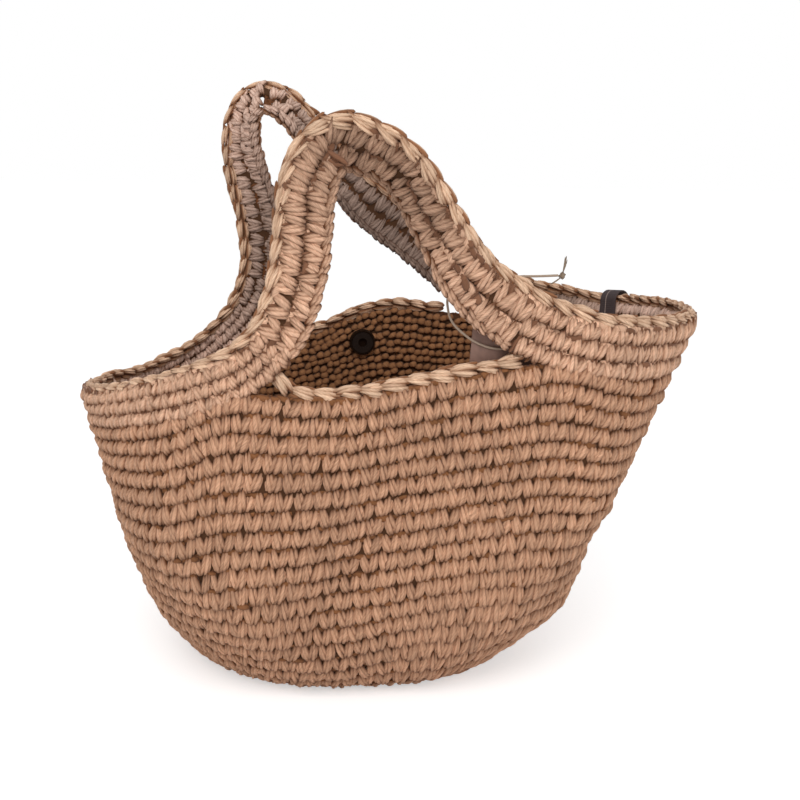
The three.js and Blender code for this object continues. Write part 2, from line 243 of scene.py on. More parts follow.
    def round_height(self, wall: Wall, up: np.ndarray, s: np.ndarray) -> np.ndarray:
        """Height of the body at a length up the wall.

        Args:
            wall: front or back.
            up: length up the front wall from the base's edge.
            s: length along the wall.

        Returns:
            Heights.
        """
        z = np.interp(up, self.rise_length, self.rise_height)
        share = z / self.slit_height
        z = z * (1.0 + self.row_tilt * np.tanh(s / (80 * MM)) * (1.0 - share) ** 1.8)
        top = EDGES[wall].top(s)
        return z * (1.0 + share**1.2 * (top / self.slit_height - 1.0))

    def row_edge(self, row: float) -> float:
        """Length up the front wall of a round's lower edge; the rounds crowd towards the slit.

        Args:
            row: the round, counted from the base.

        Returns:
            The length.
        """
        return float(self.rise_length[-1] * max(row / self.rows, 0.0) ** self.crowding)


@dataclass(frozen=True)
class Edge:
    """One wall's edges: the body's top, the band's chain, how it turns, and the slit's chain.

    Places are in wall millimetres. The turn is in degrees at shares of the chain's length. The
    slit's chain has its left end, its right end and how far its ends climb.
    """

    body: Table
    chain: Table
    turn: Table
    slit: Triple

    def top(self, s: np.ndarray) -> np.ndarray:
        """Height of the body's last round.

        Args:
            s: length along the wall.

        Returns:
            Heights.
        """
        table = np.array(self.body) * MM
        near = [np.interp(s + shift * MM, table[:, 0], table[:, 1]) for shift in (-9, -4, 0, 4, 9)]
        return sum(near) / len(near)


EDGES = {
    Wall.FRONT: Edge(
        body=(
            (-246, 171), (-215, 173), (-189, 176), (-144, 180), (-112, 182), (-98, 186), (-86, 190),
            (-74, 189), (-60, 185), (-48, 183), (-19, 180), (11, 184), (38, 187), (60, 188),
            (72, 190), (84, 190), (96, 187), (110, 181), (138, 176), (175, 174), (215, 172), (246, 171),
        ),
        chain=(
            (-246, 199), (-215, 201), (-189, 204), (-144, 208), (-117, 208.5), (-99, 209), (-86, 211.5),
            (-77, 216), (-71.5, 223), (-67.5, 232), (-64.5, 241), (-62.5, 250), (-61.2, 259),
            (-60.5, 270), (-60.5, 281), (-58, 292), (-54, 299.5), (-49.5, 306), (-43.5, 312.5),
            (-37, 315.5), (-31, 315), (-24.5, 312.5), (-18, 309.3), (-11.5, 306), (-4.5, 302),
            (2, 298), (7, 293), (11.5, 286), (17, 276.5), (23, 268), (28, 261.5), (34.5, 253.5),
            (40, 247), (48.5, 239), (57, 231.5), (67, 224.5), (76, 219), (86, 214), (98, 210),
            (116, 206.5), (138, 204.5),
            (175, 202), (215, 200), (246, 199),
        ),
        turn=(
            (0, 0), (0.33, 0), (0.44, 10), (0.5, 44), (0.56, 57), (0.61, 50), (0.66, 25), (0.71, 0), (1, 0),
        ),
        slit=(-60, 70, 9),
    ),
    Wall.BACK: Edge(
        body=(
            (-246, 171), (-216, 167), (-170, 161), (-141, 161), (-116, 164), (-100, 171), (-80, 178),
            (-60, 180), (-23, 182), (-11, 187), (1, 192), (11, 195), (24, 197), (36, 195), (49, 191.5),
            (61, 188), (75, 186), (92, 183), (110, 178), (129, 175), (158, 171), (178, 169), (221, 170),
            (246, 171),
        ),
        chain=(
            (-246, 199), (-216, 195), (-170, 189), (-141, 188.5), (-116, 191), (-103, 197), (-93, 204),
            (-86, 213), (-81.5, 224), (-79, 236), (-79, 247), (-80.5, 260), (-83.5, 273), (-87.5, 287),
            (-90.5, 300), (-91, 314), (-88.5, 327.5), (-82, 338.5), (-73, 344.5), (-63, 344.5), (-53, 340),
            (-43, 332), (-29, 319), (-15, 305.5), (0, 291.5), (14, 278.5), (28, 268.5), (41, 258),
            (54, 247), (64, 237), (73, 228), (84, 219), (96, 212), (110, 206), (129, 203), (158, 198),
            (178, 196), (221, 198), (246, 199),
        ),
        turn=((0, 0), (0.3, 0), (0.38, 30), (0.45, 52), (0.5, 58), (0.55, 45), (0.6, 25), (0.66, 0), (1, 0)),
        slit=(-54, 60, 3),
    ),
}


@dataclass
class Lobe:
    """One plump arm of yarn, modelled once and copied along every round."""

    sides: int = 6
    rings: int = 6
    fullness: Table = ((-0.5, 0.92), (0.0, 1.06), (0.5, 1.18), (0.866, 1.5))

    def model(self) -> tuple[np.ndarray, np.ndarray, np.ndarray, np.ndarray]:
        """Model the arm.

        Returns:
            Points, the corners of its faces, the corner count of each face and its UV map.
        """
        bpy.ops.mesh.primitive_uv_sphere_add(segments=self.sides, ring_count=self.rings, radius=1.0)
        arm = bpy.context.object
        bpy.ops.object.mode_set(mode="EDIT")
        bpy.ops.mesh.select_all(action="DESELECT")
        bpy.ops.object.mode_set(mode="OBJECT")
        for level, size in self.fullness:
            for vertex in arm.data.vertices:
                vertex.select = abs(vertex.co.z - level) < 0.1
            bpy.ops.object.mode_set(mode="EDIT")
            bpy.ops.transform.resize(value=(size, size, 1.0))
            bpy.ops.mesh.select_all(action="DESELECT")
            bpy.ops.object.mode_set(mode="OBJECT")
        mesh = arm.data
        points = np.array([v.co[:] for v in mesh.vertices])
        corners = np.array([loop.vertex_index for loop in mesh.loops])
        counts = np.array([p.loop_total for p in mesh.polygons])
        uv = np.array([u.uv[:] for u in mesh.uv_layers[0].data])
        bpy.data.objects.remove(arm)
        bpy.data.meshes.remove(mesh)
        return points, corners, counts, uv


@dataclass
class Arms:
    """A batch of yarn arms: where each lies, how it turns and how big it is."""

    rows: list[np.ndarray] = field(default_factory=list)

    def add(
        self, start: np.ndarray, end: np.ndarray, out: np.ndarray, width: float, thick: float, arch: float
    ) -> None:
        """Add arms.

        Args:
            start: where each arm begins.
            end: where it ends.
            out: the way its top faces.
            width: half its width.
            thick: half its thickness.
            arch: how far its middle stands out.
        """
        size = np.tile((width, thick, arch), (len(start), 1))
        self.rows.append(np.concatenate([start, end, out, size], axis=1))

    def half(self, side: int) -> "Arms":
        """Return the arms on one side of the bag's middle.

        Args:
            side: -1 for the left, 1 for the right.

        Returns:
            Those arms.
        """
        return Arms([rows[(rows[:, 0] + rows[:, 3]) * side > 0] for rows in self.rows])


class Yarn:
    """Turns batches of arms into meshes."""

    def __init__(self, rng: np.random.Generator) -> None:
        """Model the arm that every stitch copies.

        Args:
            rng: the scene's random numbers.
        """
        self.points, self.corners, self.counts, self.uv = Lobe().model()
        self.rng = rng
        self.slack = 0.36 * MM
        self.splay = (0.72, 1.0)

    def spin(
        self,
        name: str,
        arms: Arms,
        finish: bpy.types.Material,
        strands: int = 3,
        twist: float = 0.18,
    ) -> bpy.types.Object:
        """Build one object from a batch of arms, each of a few strands laid side by side.

        Args:
            name: the object's name.
            arms: the batch.
            finish: its material.
            strands: how many strands each arm has.
            twist: how far the strands turn across the arm.

        Returns:
            The new object.
        """
        rows = np.concatenate(arms.rows)
        start, end, facing = rows[:, 0:3], rows[:, 3:6], rows[:, 6:9]
        width, thick, arch = rows[:, 9:12].T
        along = unit(end - start)
        side = unit(np.cross(along, facing))
        out = np.cross(side, along)
        loose = self.rng.normal(0.0, 1.0, (len(start), 6))
        width = width * (1.0 + 0.09 * loose[:, 0])
        thick = thick * (1.0 + 0.08 * loose[:, 1])
        start = start + (side * loose[:, 2:3] + out * loose[:, 3:4] + along * loose[:, 4:5]) * self.slack
        end = end + (side * loose[:, 5:6] + out * loose[:, 3:4]) * self.slack
        made, shade_lifts = [], []
        for strand in range(strands):
            beside = 2.0 * strand / (strands - 1) - 1.0 if strands > 1 else 0.0
            stray = self.rng.normal(0.0, 1.0, (len(start), 4)) * self.slack * 0.7
            place = side * (width * beside * (1.0 - 1.12 / strands))[:, None]
            place = place - out * (thick * 0.45 * beside**2)[:, None]
            slant = side * (width * (twist if strands > 1 else 0.0))[:, None]
            pull = (end - start) * (0.22 * twist * beside)
            a = start + place * self.splay[0] + side * stray[:, 0:1] + out * stray[:, 1:2] - slant + pull
            b = end + place * self.splay[1] + side * stray[:, 2:3] + out * stray[:, 3:4] + slant + pull
            made.append(self._arm_points((a, b), (side, out), (width * 1.3 / strands, thick * 0.8, arch)))
            # Painted shade: lift is low on each strand's inner side, on the outer strands and at the ends.
            # The finishes darken the yarn there, which draws dark grooves and dark lines between rows.
            shade_lifts.append(-self.points[:, 0] - 0.22 * abs(beside) - 0.75 * np.abs(self.points[:, 2]) ** 3)
        tones = self.rng.normal(0.5, 0.13, len(start))
        tones = np.concatenate([tones + self.rng.normal(0.0, 0.12, len(start)) for _ in made])
        lift = np.concatenate([np.tile(lift, len(start)) for lift in shade_lifts])
        LOG.info("%s: %d arms", name, len(start))
        return self._mesh(name, np.concatenate(made), tones, lift, finish)

    def _arm_points(self, ends: Arrays, ways: Arrays, size: Arrays) -> np.ndarray:
        """Place the modelled arm between pairs of points.

        Args:
            ends: where each begins and where it ends.
            ways: the way across it and the way its top faces.
            size: half its width, half its thickness and how far its middle stands out.

        Returns:
            The points of each arm.
        """
        (start, end), (side, out), (width, thick, arch) = ends, ways, size
        across, depth, length = self.points[:, 1], -self.points[:, 0], self.points[:, 2]
        rise = thick[:, None] * depth + arch[:, None] * (1.0 - length**2)
        points = (start + end)[:, None, :] / 2 + (end - start)[:, None, :] / 2 * length[None, :, None]
        points += side[:, None, :] * (width[:, None] * across)[..., None]
        return points + out[:, None, :] * rise[..., None]

    def _mesh(
        self,
        name: str,
        points: np.ndarray,
        tones: np.ndarray,
        lift: np.ndarray,
        finish: bpy.types.Material,
    ) -> bpy.types.Object:
        """Write the strands' points, faces, UV map and attributes to a mesh.

        Args:
            name: the object's name.
            points: the points of each strand.
            tones: how light each strand is.
            lift: how far each point stands out of the fabric; the finishes paint shade where it is low.
            finish: the material.

        Returns:
            The new object.
        """
        count, each = points.shape[:2]
        corners = (self.corners[None, :] + each * np.arange(count)[:, None]).ravel()
        totals = np.tile(self.counts, count)
        mesh = bpy.data.meshes.new(name)
        mesh.vertices.add(count * each)
        mesh.vertices.foreach_set("co", points.astype(np.float32).ravel())
        mesh.loops.add(len(corners))
        mesh.loops.foreach_set("vertex_index", corners.astype(np.int32))
        mesh.polygons.add(len(totals))
        starts = np.concatenate([[0], np.cumsum(totals)[:-1]])
        mesh.polygons.foreach_set("loop_start", starts.astype(np.int32))
        mesh.update(calc_edges=True)
        shift = self.rng.random((count, 2)) * 7.0
        uv = self.uv[None, :, :] + np.round(shift[:, None, :], 3)
        layer = mesh.uv_layers.new(name="yarn")
        layer.data.foreach_set("uv", uv.astype(np.float32).ravel())
        for key, values in (("tone", np.clip(np.repeat(tones, each), 0, 1)), ("lift", lift)):
            attribute = mesh.attributes.new(key, "FLOAT", "POINT")
            attribute.data.foreach_set("value", values.astype(np.float32))
        mesh.shade_smooth()
        mesh.materials.append(finish)
        obj = bpy.data.objects.new(name, mesh)
        bpy.context.collection.objects.link(obj)
        return obj


@dataclass
class Course:
    """A line of stitches on a surface: evenly spaced places and the frame at each."""

    place: np.ndarray
    along: np.ndarray
    up: np.ndarray
    out: np.ndarray
    pitch: float
    at: np.ndarray

    @classmethod
    def lay(
        cls,
        line: Line,
        above: Line,
        outward: float,
        pitch: float,
        phase: float,
        start: float = 0.0,
        stop: float = 1.0,
    ) -> "Course":
        """Space stitches along a line.

        Args:
            line: the line's points for numbers from 0 to 1.
            above: points a little above the line, across the round.
            outward: 1 where along × up faces out, -1 where it faces in.
            pitch: the wanted distance between stitches.
            phase: shift of the stitches, as a share of the pitch.
            start: where on the line the stitches begin.
            stop: where they end.

        Returns:
            The course.
        """
        t = np.linspace(start, stop, 1200)
        points = line(t)
        length = np.concatenate([[0.0], np.cumsum(np.linalg.norm(np.diff(points, axis=0), axis=1))])
        count = max(2, round(length[-1] / pitch))
        wanted = (np.arange(count) + 0.5 + phase) * length[-1] / count
        at = np.interp(wanted, length, t)
        step = (stop - start) * 1e-4
        place = line(at)
        along = unit(line(at + step) - line(at - step))
        up = above(at) - place
        up = unit(up - along * np.sum(up * along, axis=1, keepdims=True))
        out = np.cross(along, up) * outward
        return cls(place, along, up, out, length[-1] / count, at)

    def kept(self, mask: np.ndarray) -> "Course":
        """Keep only some of the stitches.

        Args:
            mask: true for each stitch that stays.

        Returns:
            The shorter course.
        """
        kept = {name: getattr(self, name)[mask] for name in ("place", "along", "up", "out", "at")}
        return replace(self, **kept)


@dataclass
class StitchShape:
    """How the yarn of one stitch lies, in shares of the stitch and the round."""

    arm_width: float = 3.1 * MM
    arm_thick: float = 2.1 * MM
    arm_arch: float = 1.4 * MM
    depth: float = 2.6 * MM
    bars: Table = ((-0.25, 0.29), (0.27, 0.19), (-0.22, -0.22), (0.24, -0.31))
    tips: tuple[float, float] = (-0.37, 0.37)
    feet: tuple[float, float] = (-0.08, 0.11)
    rise: tuple[float, float] = (0.64, 0.47)

    def outside(self, arms: Arms, course: Course, row: np.ndarray | float) -> None:
        """Add the two arms of each V on the outside.

        Args:
            arms: the batch to add to.
            course: the round's stitches.
            row: height of the round, also stitch by stitch.
        """
        row = np.broadcast_to(row, len(course.place))[:, None]
        middle = course.place - course.out * self.depth
        for tip_at, foot_at in zip(self.tips, self.feet):
            tip = middle + course.along * (tip_at * course.pitch) + course.up * (self.rise[0] * row)
            foot = middle + course.along * (foot_at * course.pitch) - course.up * (self.rise[1] * row)
            face = course.out + course.up * 0.10 + course.along * (0.25 * np.sign(tip_at))
            tip, foot = tip - course.out * 1.3 * MM, foot + course.out * 0.1 * MM
            arms.add(tip, foot, face, self.arm_width, self.arm_thick, self.arm_arch)

    def inside(self, arms: Arms, course: Course, row: np.ndarray | float, depth: float) -> None:
        """Add the flatter arms of each stitch on the inside.

        Args:
            arms: the batch to add to.
            course: the round's stitches.
            row: height of the round, also stitch by stitch.
            depth: how far under the outer face the arms lie.
        """
        row = np.broadcast_to(row, len(course.place))[:, None]
        middle = course.place - course.out * depth
        for at, level in self.bars:
            centre = middle + course.along * (at * course.pitch) + course.up * (level * row)
            reach = course.along * (0.31 * course.pitch) + course.up * (0.08 * row)
            arms.add(centre - reach, centre + reach, -course.out, 1.7 * MM, 1.2 * MM, 0.8 * MM)

    def under(self, arms: Arms, course: Course, row: np.ndarray | float) -> None:
        """Add the loop that runs along the top of each round, down between the Vs.

        Args:
            arms: the batch to add to.
            course: the round's stitches.
            row: height of the round, also stitch by stitch.
        """
        row = np.broadcast_to(row, len(course.place))[:, None]
        for at, sink in ((0.0, 4.2), (0.5, 3.9)):
            middle = course.place - course.out * (sink * MM) + course.up * (0.45 * row)
            middle = middle + course.along * (at * course.pitch)
            reach = course.along * (0.48 * course.pitch) + course.up * ((0.5 - 2 * at) * MM)
            arms.add(middle - reach, middle + reach, course.out, 1.5 * MM, 1.2 * MM, 0.5 * MM)

    def hem(self, front: Arms, back: Arms, course: Course, row: float, fabric: float) -> None:
        """Add the yarn along the fabric's free edge, below the course.

        Args:
            front: the batch seen from the outside.
            back: the batch seen from the inside.
            course: the round next to the edge.
            row: height of the round.
            fabric: the fabric's thickness.
        """
        edge = course.place - course.up * (0.5 * row - 1.6 * MM) - course.out * (fabric / 2)
        for arms, side in ((front, 1.0), (back, -1.0)):
            face = unit(course.out * side * 0.75 - course.up * 0.65)
            for at in (-0.25, 0.25):
                middle = edge + course.out * (side * 1.9 * MM) + course.along * (at * course.pitch)
                reach = course.along * (0.42 * course.pitch) - course.up * (0.9 * MM)
                arms.add(middle - reach, middle + reach, face, 2.3 * MM, 1.8 * MM, 0.7 * MM)


@dataclass
class ChainShape:
    """How the yarn of one chain link lies on an edge."""

    link: float = 12.0 * MM
    spread: float = 2.1 * MM
    arm_width: float = 2.35 * MM
    arm_thick: float = 2.0 * MM

    def links(self, arms: Arms, course: Course) -> None:
        """Add the two arms of each link, one above the other as seen from the outside.

        Args:
            arms: the batch to add to.
            course: the chain's links, with up along the edge's outward side.
        """
        apart = unit(course.up * 0.86 - course.out * 0.5)
        face = unit(course.up * 0.5 + course.out * 0.86)
        before = np.concatenate([course.place[:1] - course.along[:1] * course.pitch, course.place[:-1]])
        after = np.concatenate([course.place[1:], course.place[-1:] + course.along[-1:] * course.pitch])
        for hand in (-1.0, 1.0):
            tail = course.place + (before - course.place) * 0.74
            tail = tail - apart * (hand * 0.25 * self.spread) - face * 1.5 * MM
            head = course.place + (after - course.place) * 0.56
            flare = 0.98 if hand < 0 else 0.6
            head = head + apart * (hand * flare * self.spread) - face * (1.2 if hand < 0 else 1.7) * MM
            arms.add(tail, head, face + apart * (0.5 * hand), self.arm_width, self.arm_thick, 1.8 * MM)
            deep = apart * (hand * 0.9 * self.spread) - face * 2.6 * MM
            begin = course.place * 0.45 + before * 0.55 + deep
            finish = course.place * 0.45 + after * 0.55 + deep
            arms.add(begin, finish, apart * hand - face, 2.0 * MM, 1.7 * MM, 0.9 * MM)


class Graph:
    """A node tree that is filled one wired node at a time."""

    def __init__(self, tree: bpy.types.NodeTree) -> None:
        """Keep the tree.

        Args:
            tree: the tree of a material, a world or a group.
        """
        self.tree = tree

    def feed(self, node: bpy.types.Node, given: dict) -> None:
        """Wire or set a node's inputs.

        Args:
            node: the node.
            given: for each input's name or number, an output or a plain value.
        """
        for key, value in given.items():
            if isinstance(value, bpy.types.NodeSocket):
                self.tree.links.new(value, node.inputs[key])
            else:
                node.inputs[key].default_value = value

    def add(self, kind: str, given: dict | None = None, **settings: object) -> bpy.types.Node:
        """Add a node.

        Args:
            kind: its type, without the first word.
            given: what feeds its inputs.
            settings: its other settings.

        Returns:
            The node.
        """
        node = self.tree.nodes.new(f"ShaderNode{kind}")
        for key, value in settings.items():
            setattr(node, key, value)
        self.feed(node, given or {})
        return node

    def math(self, operation: str, *given: object) -> bpy.types.NodeSocket:
        """Add a sum.

        Args:
            operation: what it does.
            given: its inputs.

        Returns:
            Its result.
        """
        return self.add("Math", dict(enumerate(given)), operation=operation).outputs[0]

    def mix(self, share: bpy.types.NodeSocket, low: object, high: object) -> bpy.types.NodeSocket:
        """Mix two colours.

        Args:
            share: how much of the second.
            low: the first colour.
            high: the second colour.

        Returns:
            The mixed colour.
        """
        return self.add("Mix", {0: share, 6: low, 7: high}, data_type="RGBA").outputs[2]

    def spread(
        self,
        value: bpy.types.NodeSocket,
        before: tuple[float, float],
        after: tuple[float, float] = (0.0, 1.0),
        ease: str = "LINEAR",
    ) -> bpy.types.NodeSocket:
        """Map one range of a value to another.

        Args:
            value: the value.
            before: its range.
            after: the range it gets.
            ease: how it runs from end to end.

        Returns:
            The mapped value.
        """
        names = ("From Min", "From Max", "To Min", "To Max")
        given = {"Value": value, **dict(zip(names, (*before, *after)))}
        return self.add("MapRange", given, interpolation_type=ease).outputs[0]

    def noise(self, place: bpy.types.NodeSocket, scale: float, detail: float) -> bpy.types.NodeSocket:
        """Add a noise.

        Args:
            place: where it is read.
            scale: how fine it is.
            detail: how many finer layers it has.

        Returns:
            Its value.
        """
        return self.add("TexNoise", {"Vector": place, "Scale": scale, "Detail": detail}).outputs["Fac"]

    def split(self, uv_map: str) -> bpy.types.NodeOutputs:
        """Read a UV map.

        Args:
            uv_map: its name.

        Returns:
            Its X, Y and Z outputs.
        """
        return self.add("SeparateXYZ", {0: self.add("UVMap", uv_map=uv_map).outputs["UV"]}).outputs


class Finishes:
    """The bag's materials."""

    def __init__(self) -> None:
        """Build the shared fibre group and each finish."""
        self.plies = 3.0
        self.fibre = self._fibre_group()
        self.jute = self.yarn("jute_yarn", (0.80, 0.46, 0.29), (0.15, 0.050, 0.015))
        # Painted shade on the band: darker round the front handle's apex, where it turns away from the
        # light.
        painted_shade_spot = ((0.01, -0.105, 0.30), 0.03, 0.075, 0.68)
        self.band = self.yarn("jute_band_yarn", (0.95, 0.59, 0.40), (0.17, 0.060, 0.02), painted_shade_spot)
        self.chain = self.yarn("jute_chain_yarn", (1.0, 0.69, 0.475), (0.30, 0.13, 0.06))
        # Painted shade: the inner faces of the walls and base are the same jute drawn darker.
        self.painted_inside = self.yarn("jute_lining_yarn", (0.43, 0.20, 0.088), (0.17, 0.060, 0.018))
        # Painted light: the bands' inner faces are the same jute drawn lighter, with painted shade darker
        # round the back handle's right leg.
        painted_shade_spot = ((0.05, 0.105, 0.235), 0.09, 0.15, 0.42)
        self.underside_painted_light = self.yarn("jute_underside_yarn", (1.0, 0.70, 0.56), (0.24, 0.11, 0.06), painted_shade_spot)
        # Painted shade: the loops sunk between the Vs are the same jute drawn darker.
        self.deep = self.yarn("jute_deep_yarn", (0.30, 0.125, 0.05), (0.09, 0.03, 0.01))
        # Painted shade: a near-black sheet in the fabric's middle darkens the gaps between stitches.
        self.core = self.plain("jute_core", (0.075, 0.028, 0.008), 0.95)
        self.twine = self.yarn("tag_twine_yarn", (0.46, 0.35, 0.26), (0.20, 0.13, 0.08))
        self.string = self.plain("tag_twine", (0.40, 0.30, 0.225), 0.85, 1600.0)
        self.card = self.plain("tag_card_stock", (0.26, 0.15, 0.115), 0.6, 260.0)
        self.snap = self.plain("snap_black_enamel", (0.016, 0.008, 0.005), 0.22, 300.0, 0.1)
        self.magnet = self.plain("snap_magnet_enamel", (0.02, 0.012, 0.009), 0.45, 300.0, 0.15)
        self.tape = self._tape("rim_label_tape", (0.062, 0.041, 0.041))

    def _fibre_group(self) -> bpy.types.NodeTree:
        """Build the group that draws twisted fibres along an arm of yarn.

        Returns:
            The node group.
        """
        group = bpy.data.node_groups.new("yarn_fibres", "ShaderNodeTree")
        given = (("Twist", "INPUT", 1.4), ("Strands", "INPUT", 9.0))
        for name, way, value in (*given, ("Streaks", "OUTPUT", 0.0), ("Height", "OUTPUT", 0.0)):
            socket = group.interface.new_socket(name, in_out=way, socket_type="NodeSocketFloat")
            socket.default_value = value
        given = group.nodes.new("NodeGroupInput").outputs
        made = group.nodes.new("NodeGroupOutput")
        graph = Graph(group)
        parts = graph.split("yarn")
        twist = graph.math("MULTIPLY_ADD", parts["Y"], given["Twist"], parts["X"])
        across = graph.math("MULTIPLY", twist, given["Strands"])
        place = graph.add("CombineXYZ", {"X": across, "Y": parts["Y"]}).outputs[0]
        fine = graph.noise(place, 1.6, 4.0)
        fine.node.inputs["Roughness"].default_value = 0.62
        wave = graph.math("SINE", graph.math("MULTIPLY", twist, 2.0 * math.pi * self.plies))
        height = graph.math("MULTIPLY_ADD", wave, 0.16, fine)
        graph.feed(made, {"Streaks": fine, "Height": height})
        return group

    def _start(self, name: str, given: dict) -> tuple[bpy.types.Material, Graph, bpy.types.Node]:
        """Start a material.

        Args:
            name: its name.
            given: what feeds its shader.

        Returns:
            The material, its graph and its shader.
        """
        material = bpy.data.materials.new(name)
        material.use_nodes = True
        graph = Graph(material.node_tree)
        shader = material.node_tree.nodes["Principled BSDF"]
        graph.feed(shader, given)
        return material, graph, shader

    def yarn(
        self,
        name: str,
        light: Triple,
        dark: Triple,
        shade_patch: tuple[Triple, float, float, float] | None = None,
    ) -> bpy.types.Material:
        """Make a jute yarn finish.

        Args:
            name: the material's name.
            light: colour of the raised fibres.
            dark: painted shade, the colour down in the grooves and at the arms' ends.
            shade_patch: painted shade, darker inside a sphere: its middle, its inner and outer radius, and
                how light it is.

        Returns:
            The material.
        """
        cloth = {"Roughness": 0.9, "Specular IOR Level": 0.25, "Sheen Weight": 0.08, "Sheen Roughness": 0.5}
        material, graph, shader = self._start(name, cloth)
        fibres = graph.add("Group", node_tree=self.fibre).outputs
        lift, tone = (graph.add("Attribute", attribute_name=key).outputs["Fac"] for key in ("lift", "tone"))
        # Painted shade: where lift is low the yarn takes the dark colour.
        groove_shade = graph.spread(lift, (-0.35, 0.85))
        streak = graph.spread(fibres["Streaks"], (0.3, 0.7), (0.45, 1.2))
        colour = graph.mix(graph.math("MULTIPLY", groove_shade, streak), (*dark, 1.0), (*light, 1.0))
        place = graph.add("TexCoord").outputs["Object"]
        mood = graph.math("ADD", graph.noise(place, 22.0, 2.0), tone)
        value = graph.spread(mood, (0.5, 1.5), (0.78, 1.16))
        # Painted shade: darker inside a sphere round the given middle.
        if shade_patch is not None:
            away = graph.add("VectorMath", {0: place, 1: shade_patch[0]}, operation="DISTANCE").outputs["Value"]
            painted_shade_spot = graph.spread(away, shade_patch[1:3], (shade_patch[3], 1.0), "SMOOTHSTEP")
            value = graph.math("MULTIPLY", value, painted_shade_spot)
        tint = graph.add("HueSaturation", {"Value": value, "Color": colour}).outputs["Color"]
        ridges = {"Strength": 0.75, "Distance": 0.5 * MM, "Height": fibres["Height"]}
        graph.feed(shader, {"Base Color": tint, "Normal": graph.add("Bump", ridges).outputs["Normal"]})
        return material

    def plain(
        self,
        name: str,
        colour: Triple,
        rough: float,
        scale: float = 900.0,
        glint: float = 0.5,
    ) -> bpy.types.Material:
        """Make a simple finish with a fine grain in its colour and height.

        Args:
            name: the material's name.
            colour: its colour.
            rough: its roughness.
            scale: how fine its grain is.
            glint: how much light it mirrors.

        Returns:
            The material.
        """
        material, graph, shader = self._start(name, {"Roughness": rough, "Specular IOR Level": glint})
        grain = graph.noise(graph.add("TexCoord").outputs["Object"], scale, 3.0)
        low, high = ((*(share * c for c in colour), 1.0) for share in (0.72, 1.28))
        bump = graph.add("Bump", {"Strength": 0.25, "Distance": 0.2 * MM, "Height": grain})
        graph.feed(shader, {"Base Color": graph.mix(grain, low, high), "Normal": bump.outputs["Normal"]})
        return material

    def _tape(self, name: str, colour: Triple) -> bpy.types.Material:
        """Make dark ribbed tape with one thin light thread down it.

        Args:
            name: the material's name.
            colour: the tape's colour.

        Returns:
            The material.
        """
        material = self.plain(name, colour, 0.7, 700.0)
        graph, nodes = Graph(material.node_tree), material.node_tree.nodes
        parts = graph.split("tape")
        near = graph.math("COMPARE", parts["X"], 0.36, 0.022)
        thread = graph.mix(near, nodes["Mix"].outputs[2], (0.36, 0.27, 0.23, 1.0))
        graph.feed(nodes["Principled BSDF"], {"Base Color": thread})
        rib = graph.math("SINE", graph.math("MULTIPLY", parts["Y"], 2.0 * math.pi * 34.0))
        graph.feed(nodes["Bump"], {"Height": rib})
        return material


@dataclass
class Blends:
    """Bakes the soft pieces' places into their meshes."""

    form: BagForm
    climb: float = 45.0
    begin: float = 18.0 * MM
    finish: float = 70.0 * MM

    def mouth(self, obj: bpy.types.Object, wall: Wall, side: int) -> None:
        """Bake the piece's transform into its mesh.

        Args:
            obj: the piece, which lies on one side of the bag's middle.
            wall: front or back; not used.
            side: -1 for the left half, 1 for the right half; not used.
        """
        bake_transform(obj)

    def fold(self, obj: bpy.types.Object, wall: Wall) -> None:
        """Bake a handle piece's transform into its mesh.

        Args:
            obj: the piece.
            wall: front or back; not used.
        """
        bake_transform(obj)


